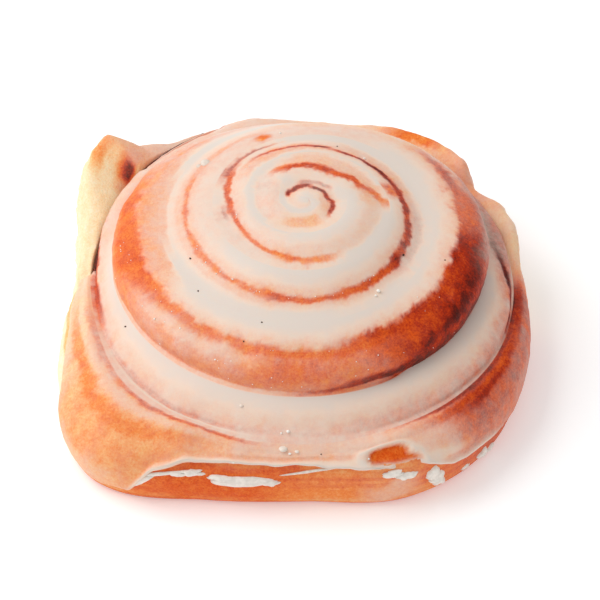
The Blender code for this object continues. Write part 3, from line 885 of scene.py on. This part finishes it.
def dough_paint(turn, share, points):
    """Cover and brownness of the bare dough: orange-brown at the front, pale where it was torn."""
    wander = bumps(points, 5.0, 41, 3)
    streak = bumps(stacked(turn * 34.0, points[..., 2] * 2.4, 0.0), 2.0, 43, 3)
    brown = BAKED_BROWN + 0.06 * wander + 0.10 * streak
    brown = brown - 0.14 * rise(share, 0.86, 0.97) + 0.10 * rise(share, 0.97, 1.0)
    brown = brown + window(turn, RIGHT_TURNS) * (RIGHT_BROWN - brown) * 0.8
    torn = torn_share(turn) * rise(share, 0.3, 0.5)
    crumb = CRUMB_BROWN + 0.08 * wander + 0.24 * rise(bumps(points, 6.0, 47, 2), 0.25, 0.8)
    brown = brown + torn * (crumb - brown)
    cover = np.full_like(brown, DOUGH_COVER)
    cover, brown = lay_strokes(DOUGH_STROKES, turn, share, wander, cover, brown)
    return np.clip(cover, 0.0, 1.0), np.clip(brown, 0.0, 1.0)


def spiral_numbers(count, rows, samples_a_turn, joined):
    """Point numbers of a spiral sheet that starts in one point and joins the turn before for some samples."""
    number = np.arange(count * rows).reshape(count, rows)
    number[0] = number[0, 0]
    number[:samples_a_turn, 0] = number[0, 0]
    number[samples_a_turn:samples_a_turn + joined, 0] = number[:joined, -1]
    return number


def strip_quads(number):
    """The faces between neighbouring lines of point numbers."""
    corners = (number[:-1, :-1], number[:-1, 1:], number[1:, 1:], number[1:, :-1])
    return np.stack(corners, axis=-1).reshape(-1, 4).tolist()


def closed(number):
    """Lines of point numbers that end where they begin."""
    return np.concatenate((number, number[:, :1]), axis=1)


def build_dough(material):
    """The rolled strip as one solid, fused in the heart and slotted for its filling farther out."""
    inner_turns = np.arange(0, int(round(LAST_SEAM_END * INNER_SAMPLES))) / INNER_SAMPLES
    turns = np.concatenate((inner_turns, np.linspace(LAST_SEAM_END, STRIP_END, OUTER_SAMPLES + 1)))
    count, rows = len(turns), len(DOUGH_SHARES)
    shares = np.broadcast_to(DOUGH_SHARES, (count, rows))
    surface = dough_surface(turns, shares)
    line = np.broadcast_to(turns[:, None], shares.shape)
    covers, browns = dough_paint(line, shares, surface)
    icing_share = icing_edge(line)
    hidden = fall(shares, icing_share - TUCKED[0], icing_share - TUCKED[1])
    iced = fall(line, ICING_END - 0.02, ICING_END - 0.01)
    depth = UNDER_ICING + UNDER_POOLS * fall(line, *POOLED_TURNS)
    surface[..., 2] -= depth * hidden * iced
    height = surface[..., 2]
    height -= TAIL_END_DROP * rise(line, *TAIL_END_TURNS) * rise(height, *TAIL_END_HEIGHTS)
    inset = SOLE_INSET * opening(turns)
    outer_sole = place(edge_of_layer(turns)[0] - seam_lean(turns) - inset, 0.0, turns)
    inner_sole = place(layer_control(turns)[:, 0, 0] - seam_lean(turns - 1.0), 0.0, turns)
    soles = np.stack((inner_sole, outer_sole), axis=1)
    points = np.concatenate((surface.reshape(-1, 3), soles.reshape(-1, 3)))
    covers = np.concatenate((covers.ravel(), np.zeros(2 * count)))
    browns = np.concatenate((browns.ravel(), np.full(2 * count, SOLE_BROWN)))

    first = int(round(SEAM_START * INNER_SAMPLES))
    number = spiral_numbers(count, rows, INNER_SAMPLES, first + 1)
    sole = spiral_numbers(count, 2, INNER_SAMPLES, first + 1) + count * rows
    faces = strip_quads(number) + strip_quads(sole.T)
    faces += strip_quads(np.stack((number[first:, -1], sole[first:, 1]), axis=-1))
    first += INNER_SAMPLES
    faces += strip_quads(np.stack((number[first:, 0], sole[first:, 0])))
    faces.append(number[-1].tolist() + sole[-1, ::-1].tolist())
    piece = make_mesh("dough_baked", points, faces, {"_cover": covers, "_brown": browns}, material)
    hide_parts("dough")


# The icing.
GLAZE_SAMPLES = 440
GLAZE_PARTS = np.concatenate((np.linspace(0.0, 0.93, 29), (0.955, 0.975, 0.988, 0.996, 1.0)))
# Where the icing ends on the last turn: turn and share.
ICING_RIM = (
    (5.5, 0.96), (5.56, 0.96), (5.585, 0.78), (5.78, 0.76), (5.84, 0.56), (5.885, 0.56), (5.91, 0.72),
    (5.94, 0.56), (5.98, 0.6), (6.02, 0.9), (6.09, 0.92), (6.125, 0.8), (6.16, 0.75), (6.18, 0.66),
    (6.205, 0.63), (6.235, 0.6), (6.255, 0.565), (6.3, 0.575), (6.325, 0.61), (6.34, 0.7), (6.352, 0.95),
    (6.37, 0.985), (6.405, 0.985), (6.418, 0.66), (6.45, 0.55), (6.5, 0.46),
)
DRIP = 0.022
FRONT_LIP = (6.10, 6.14, 6.345, 6.36)
LIP_MIDDLE = 0.5
LIP_HALF = 0.7
LIP_RISE = 0.45
SIDE_LENGTH = 24.0
END_RADIUS = 55.0
END_EASE = 0.2
BEAD_WIDTH = 0.9
BEAD_SINK = 0.18
BARE_THIN = 0.35
PATCH_RIM_WHITE = 0.9
PATCH_RIM_RISE = 0.2
PATCH_SINK = 0.05
ICING_LAYERS = ((0.05, 1.1, 73, 2), (0.05, 2.6, 75, 2))
# How deep the icing pools across a layer: share and part of the full depth.
POOL_ACROSS = ((0, 0.7), (0.1, 1), (0.24, 0.75), (0.42, 0.35), (0.56, 0.08), (0.7, 0), (0.88, 0.2), (1, 0.7))
POOL_TURNS = (0.3, 2.0)
POOL_WIDTHS = (2.0, 8.0)
GROOVE_FILL = 0.75
FLARE = 1.4
FLARE_CHANGES = ((-1.9, (3.85, 3.98, 4.18, 4.26)), (0.8, (4.22, 4.3, 4.5, 4.6)))
SETTLE = 0.5
SETTLED = 0.1
SEAM_EASE = 0.35
LAST_ROUNDS = 6
LAST_STRENGTH = 0.8
LEAST_CLEAR = 0.2
LEAST_CLEAR_HEART = -0.25
HEART_TURNS = (3.4, 3.8)


def along(turn, stretch):
    """Points on a straight line, for noise that changes only with the turn."""
    return stacked(turn * stretch, 0.0, 0.0)


def icing_edge(turn):
    """The share at which the icing ends, which drips on the last turn's side."""
    edge = read(ICING_RIM, turn) + DRIP * bumps(along(turn, 350.0), 6.0, 61, 3)
    return 1.0 + rise(turn, ICING_OPENS, ICING_OPENS + 0.012) * (edge - 1.0)


def relief_strength(turn, share):
    """How strongly the icing levels itself: fully over the flat inner turns, less in the outer grooves."""
    inner = fall(turn, 3.6, 3.95)
    tread = rise(turn, 3.5, 3.9) * fall(share, 0.24, 0.38)
    tread = tread * (1.0 - 0.6 * rise(turn, 4.9, 5.1)) * fall(turn, 5.6, 5.9)
    seam = window(turn, (4.85, 5.05, 5.47, 5.5)) * rise(share, 0.55, 0.97)
    beyond = window(turn, (5.85, 6.05, 6.44, 6.49)) * fall(share, 0.03, 0.36)
    foot = window(turn, (4.16, 4.24, 4.72, 4.86)) * rise(share, 0.87, 0.95)
    return SETTLE * np.clip(inner + tread + foot + SEAM_EASE * (seam + beyond) ** 2, 0.0, 1.0)


def build_icing(material):
    """The icing as one sheet: deep in the grooves, thin on the rims, with a rounded edge on the last turn."""
    count, rows = int(round(ICING_END * GLAZE_SAMPLES)) + 1, len(GLAZE_PARTS)
    turns = np.arange(count) / GLAZE_SAMPLES
    rim_share = icing_edge(turns)[:, None]
    shares = GLAZE_PARTS * rim_share
    base = dough_surface(turns, shares)
    line = np.broadcast_to(turns[:, None], shares.shape)
    cover, brown = paint(line, shares, base)
    patch, patch_rim, patch_brown = patch_weights(line, shares, bumps(base, 2.0, 71, 2))
    brown = brown + patch * (patch_brown - brown)
    cover = cover * (1.0 - patch)

    from_edge = (rim_share - shares) * SIDE_LENGTH
    free = line > ICING_OPENS
    lip = np.exp(-(((from_edge - LIP_MIDDLE) / LIP_HALF) ** 2)) * free * window(line, FRONT_LIP)
    cover = cover + np.maximum(lip, patch_rim * PATCH_RIM_WHITE) * (1.0 - cover)
    depth = ICING_POOL * rise(turns, *POOL_TURNS) * rise(layer_width(turns), *POOL_WIDTHS)
    from_end = (ICING_END - line) * 2 * math.pi * END_RADIUS
    bead = np.minimum(np.where(free, from_edge, np.inf), from_end * END_EASE)
    roundness = np.clip(bead / BEAD_WIDTH, 0.0, 1.0)
    bead_share = np.sqrt(np.clip(1.0 - (1.0 - roundness) ** 2, 0.0, 1.0))
    thin = ICING_THIN * (BARE_THIN + (1.0 - BARE_THIN) * cover)
    full = thin + LIP_RISE * lip + PATCH_RIM_RISE * patch_rim
    offset = full * bead_share - BEAD_SINK * (1.0 - bead_share)
    offset = offset * (1.0 - patch) - PATCH_SINK * patch
    bump = layered(base, ICING_LAYERS) * (1.0 - cover)
    points = base + outwards(turns, shares) * (offset + bump)[..., None]
    points[..., 2] += depth[:, None] * read(POOL_ACROSS, shares) * bead_share
    points[0, 0] = (HEART_X, HEART_Y, RIM_HEIGHT[0][0] + ICING_THIN)

    # A groove's point lies midway between the two turns that meet in it.
    groove = np.arange(1, int(round(ICING_OPENS * GLAZE_SAMPLES)) + 1)
    edge = edge_of_layer(turns)
    room = rise(layer_width(turns + 1.0), *POOL_WIDTHS)
    flare = FLARE
    for change, marks in FLARE_CHANGES:
        flare = flare + change * window(turns, marks)
    radius = edge[0] + slot_width(turns) / 2 + flare * (tallness(edge[2] - edge[1]) * room)
    middle = place(radius, edge[1] + ICING_THIN + depth * room * GROOVE_FILL, turns)
    points[groove, rows - 1] = middle[groove]

    number = spiral_numbers(count, rows, GLAZE_SAMPLES, count - GLAZE_SAMPLES)
    pairs = ((number[:, :-1], number[:, 1:]), (number[:-1], number[1:]))
    links = np.concatenate([stacked(first.ravel(), second.ravel()) for first, second in pairs])
    links = np.unique(links[links[:, 0] != links[:, 1]], axis=0)
    strength = relief_strength(line, shares).ravel()
    strength[0] = SETTLE
    points = points.reshape(-1, 3)
    relax(points, links, strength, RELAX_ROUNDS)
    clear = LEAST_CLEAR + (LEAST_CLEAR_HEART - LEAST_CLEAR) * fall(line.ravel(), *HEART_TURNS)
    lowest = base.reshape(-1, 3)[:, 2] + clear
    points[:, 2] = np.where(strength > SETTLED, np.maximum(points[:, 2], lowest), points[:, 2])
    relax(points, links, strength * LAST_STRENGTH, LAST_ROUNDS)

    painted = {"_cover": cover, "_brown": brown}
    piece = make_mesh("icing_sheet", points, strip_quads(number), painted, material)
    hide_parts("icing")
    return points[number]


# The filling, whose ragged top lies a little below the grooves.
FILLING_SAMPLES = 200
FILLING_FOOT = 0.4
FILLING_SINK = 0.4
FILLING_RAGGED = 0.2
FILLING_STARTS = SEAM_START + 3 / 36


def build_filling(material):
    """The cinnamon filling in the seam, with a ragged top."""
    last = STRIP_END - 1.0
    turns = np.linspace(FILLING_STARTS, last, int(FILLING_SAMPLES * (last - FILLING_STARTS)))
    edge = edge_of_layer(turns)
    peak = edge[1] - FILLING_SINK + FILLING_RAGGED * bumps(along(turns, 300.0), 2.0, 81, 2)
    foot = np.full_like(peak, FILLING_FOOT)
    near = edge[0] + FIT_GAP
    far = near + FILLING_THICK
    rings = []
    for reach, height in ((near, foot), (far, foot), (far, peak), (near, peak)):
        lean = seam_lean(turns) * (edge[1] - height) / edge[1]
        rings.append(place(reach - lean, height, turns))
    points = np.stack(rings, axis=1).reshape(-1, 3)
    number = np.arange(len(points)).reshape(-1, len(rings))
    faces = strip_quads(closed(number).T) + [number[0].tolist(), number[-1, ::-1].tolist()]
    piece = make_mesh("filling_spiral", points, faces, {}, material)
    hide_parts("cinnamon_filling")


# Dried lobes and flakes of glaze along the lip: turn, share, half sizes, thickness, raggedness and slant, which
# is how much share it gains in a turn.
GLAZE_LOBES = (
    (6.289, 0.745, 0.019, 0.052, 0.75, 0.14, 0.5),
    (6.273, 0.75, 0.007, 0.03, 0.8, 0.3, 0.0),
    (6.302, 0.715, 0.009, 0.028, 0.8, 0.3, 0.0),
    (6.319, 0.68, 0.007, 0.03, 0.95, 0.45, 0.0),
    (6.326, 0.7, 0.004, 0.02, 0.8, 0.45, 0.0),
    (6.333, 0.705, 0.013, 0.018, 0.5, 0.22, 3.0),
    (6.346, 0.815, 0.0085, 0.03, 0.55, 0.22, 11.0),
    (6.25, 0.64, 0.017, 0.014, 0.45, 0.25, 2.2),
    (6.197, 0.68, 0.006, 0.035, 0.8, 0.45, 0.0),
    (6.19, 0.725, 0.006, 0.035, 0.75, 0.5, 0.0),
    (6.172, 0.8, 0.006, 0.06, 0.9, 0.4, 0.0),
    (6.168, 0.88, 0.005, 0.07, 0.95, 0.45, 0.0),
    (6.13, 0.93, 0.005, 0.045, 0.8, 0.45, 0.0),
    (6.122, 0.96, 0.0035, 0.03, 0.7, 0.45, 0.0),
    (6.145, 0.95, 0.004, 0.025, 0.5, 0.45, 0.0),
)
LOBE_SIDES = 40
LOBE_RINGS = 7
# Sugar crumbs, bubbles and specks on the glaze: turn, share and radius in millimetres. The fields of fine
# glints are given as first and last turn, lowest and highest share, and number.
CRUMBS = (
    (3.153, 0.86, 0.42), (3.158, 0.93, 0.26), (5.263, 0.64, 0.42), (5.268, 0.7, 0.24), (6.262, 0.3, 0.3),
    (3.716, 0.2, 0.22), (2.852, 0.42, 0.3), (4.395, 0.62, 0.22), (4.37, 0.58, 0.18), (4.33, 0.66, 0.2),
    (6.212, 0.52, 0.26), (6.296, 0.55, 0.24), (3.36, 0.5, 0.2), (3.41, 0.52, 0.16), (4.12, 0.3, 0.16),
)
GLINT_FIELDS = ((4.10, 4.55, 0.46, 0.84, 46), (3.14, 3.50, 0.46, 0.60, 22), (2.35, 2.65, 0.42, 0.56, 8))
BUBBLES = ((6.265, 0.10, 1.0), (6.256, 0.14, 0.55), (3.610, 0.50, 1.3), (3.602, 0.60, 0.7), (5.30, 0.30, 0.5))
SPECKS = (
    (3.43, 0.7, 0.24), (4.383, 0.03, 0.2), (4.3, 0.1, 0.2), (4.312, 0.42, 0.22), (5.423, 0.23, 0.24),
    (3.08, 0.62, 0.3), (3.095, 0.52, 0.2), (4.06, 0.3, 0.18), (2.8, 0.5, 0.18), (6.24, 0.36, 0.16),
)
LOBE_GRAIN = 0.25
LOBE_SINK = 0.1
LOBE_UNDER = 0.25
SIDE_END = 0.985


def glints():
    """Fine frosty grains scattered over the bare crests."""
    draw = np.random.default_rng(5)
    spots = []
    for first, last, low, high, count in GLINT_FIELDS:
        for _ in range(count):
            spots.append((draw.uniform(first, last), draw.uniform(low, high), draw.uniform(0.07, 0.15)))
    return tuple(spots)


def build_lobes(material):
    """Ragged lobes and flakes of dried white glaze that lie on the side."""
    angles = np.arange(LOBE_SIDES) * 2 * math.pi / LOBE_SIDES
    rings = np.linspace(0.0, 1.0, LOBE_RINGS + 1)[:, None]
    fullness = np.sqrt(np.clip(1.0 - np.repeat(rings, LOBE_SIDES) ** 3, 0.0, 1.0))
    number = np.arange(2 * rings.size * LOBE_SIDES).reshape(2, rings.size, LOBE_SIDES)
    number[:, 0] = number[:, 0, :1]
    around = closed(np.concatenate((number[0], number[1, ::-1])))
    points, faces = [], []
    for index, (at_turn, at_share, half_turn, half_share, thick, ragged, slant) in enumerate(GLAZE_LOBES):
        wobble = bumps(stacked(np.cos(angles) * 3.0, np.sin(angles) * 3.0, index * 9.0), 2.0, 91, 3)
        outline = 1.0 + ragged * wobble
        turn = (at_turn + half_turn * rings * outline * np.cos(angles)).ravel()
        share = (at_share + half_share * rings * outline * np.sin(angles)).ravel()
        share = np.clip(share + slant * (turn - at_turn), 0.0, SIDE_END)[:, None]
        base = dough_surface(turn, share)[:, 0]
        away = outwards(turn, share)[:, 0]
        crest = fullness * (1.0 + LOBE_GRAIN * bumps(base, 1.4, 93, 2))
        faces += strip_quads((around + number.size * index).T)
        points += [base + away * (thick * crest - LOBE_SINK)[:, None], base - away * LOBE_UNDER]
    return make_mesh("glaze_lobes", np.concatenate(points), faces, {}, material)


def on_icing(sheet, turn, share):
    """The point of the icing sheet nearest to a turn and share."""
    part = share / float(icing_edge(np.array([turn]))[0])
    return sheet[int(round(turn * GLAZE_SAMPLES)), int(np.argmin(np.abs(GLAZE_PARTS - part)))]


def build_grains(name, spots, sheet, material, flatness, roughness, sink):
    """Small grains on the icing, all in one piece."""
    mesh = bmesh.new()
    for index, (turn, share, radius) in enumerate(spots):
        centre = Vector(on_icing(sheet, turn, share))
        made = bmesh.ops.create_icosphere(mesh, subdivisions=2, radius=radius)
        shape = np.array([tuple(vert.co) for vert in made["verts"]])
        swell = 1.0 + roughness * bumps(shape / radius * 2.0 + index * 7.0, 1.6, 101, 2)
        for vert, factor in zip(made["verts"], swell):
            vert.co = vert.co * float(factor)
            vert.co.z *= flatness
            vert.co += centre + Vector((0.0, 0.0, radius * flatness * (1.0 - 2.0 * sink)))
    points = [tuple(vert.co) for vert in mesh.verts]
    mesh.verts.ensure_lookup_table()
    faces = [[vert.index for vert in face.verts] for face in mesh.faces]
    mesh.free()
    return make_mesh(name, points, faces, {}, material)


# Stage: a white floor, a soft white surround and light from the left. Sizes here are in metres.
FLOOR_HALF = 6.0
FLOOR_DROP = 0.0002
FLOOR_WHITE = 0.90
FLOOR_GLOW = 0.26
WHITE = (1.0, 1.0, 1.0, 1.0)
SURROUND = 0.61
LAMP_SIZE = 0.9
LAMP_POWER = 8.8
LAMP_AT = (-0.76, 0.16, 0.92)
LAMP_AIM = Vector((0.0, 0.0, 0.02))
SENSOR = 36.0
LENS = 144.5
CAMERA_AIM = Vector((HEART_X - 1.6, HEART_Y - 8.0, 18.0)) * MM
CAMERA_REACH = 0.56
CAMERA_ELEVATION = math.radians(45.0)


def point_at(made, at, aim):
    """Puts a lamp or camera in its place and turns it towards its aim."""
    made.location = at
    made.rotation_mode = "QUATERNION"
    made.rotation_quaternion = (aim - made.location).to_track_quat("-Z", "Y")


def build_stage():
    """Floor, lights and camera."""
    mesh = bpy.data.meshes.new("floor")
    corners = [(x * FLOOR_HALF, y * FLOOR_HALF, 0) for x, y in ((-1, -1), (1, -1), (1, 1), (-1, 1))]
    mesh.from_pydata(corners, [], [(0, 1, 2, 3)])
    floor = add_object("floor", mesh)
    floor.location.z = -FLOOR_DROP
    white = Paint("white_floor")
    glow = {"Emission_Color": WHITE, "Emission_Strength": FLOOR_GLOW}
    white.finish((FLOOR_WHITE, FLOOR_WHITE, FLOOR_WHITE, 1.0), 0.9, Specular_IOR_Level=0.0, **glow)
    mesh.materials.append(white.material)

    world = bpy.data.worlds.new("surround")
    world.use_nodes = True
    sky = world.node_tree.nodes["Background"]
    sky.inputs["Color"].default_value = WHITE
    sky.inputs["Strength"].default_value = SURROUND
    bpy.context.scene.world = world

    lamp = bpy.data.lights.new("window_light", "AREA")
    lamp.shape = "RECTANGLE"
    lamp.size = lamp.size_y = LAMP_SIZE
    lamp.energy = LAMP_POWER
    light = add_object("window_light", lamp)
    point_at(light, LAMP_AT, LAMP_AIM)

    lens = bpy.data.cameras.new("camera")
    lens.sensor_width = SENSOR
    lens.lens = LENS
    camera = add_object("camera", lens)
    back, up = CAMERA_REACH * math.cos(CAMERA_ELEVATION), CAMERA_REACH * math.sin(CAMERA_ELEVATION)
    point_at(camera, CAMERA_AIM + Vector((0.0, -back, up)), CAMERA_AIM)
    bpy.context.scene.camera = camera
    bpy.context.scene.view_settings.view_transform = "Standard"


build_dough(dough_material())
build_filling(filling_material())
icing_points = build_icing(icing_material())
lobes = build_lobes(plain_material("dried_glaze", (246, 238, 228), 0.42, 1.2, 14))
sugar = plain_material("sugar", (252, 248, 240), 0.5)
crumbs = build_grains("sugar_crumbs", CRUMBS + glints(), icing_points, sugar, 0.85, 0.30, 0.15)
bubble = plain_material("bubble", (236, 222, 208), 0.35)
bubbles = build_grains("glaze_bubbles", BUBBLES, icing_points, bubble, 0.35, 0.08, 0.5)
speck = plain_material("cinnamon_speck", (66, 34, 22), 0.6)
specks = build_grains("dark_specks", SPECKS, icing_points, speck, 0.6, 0.35, 0.4)
build_stage()
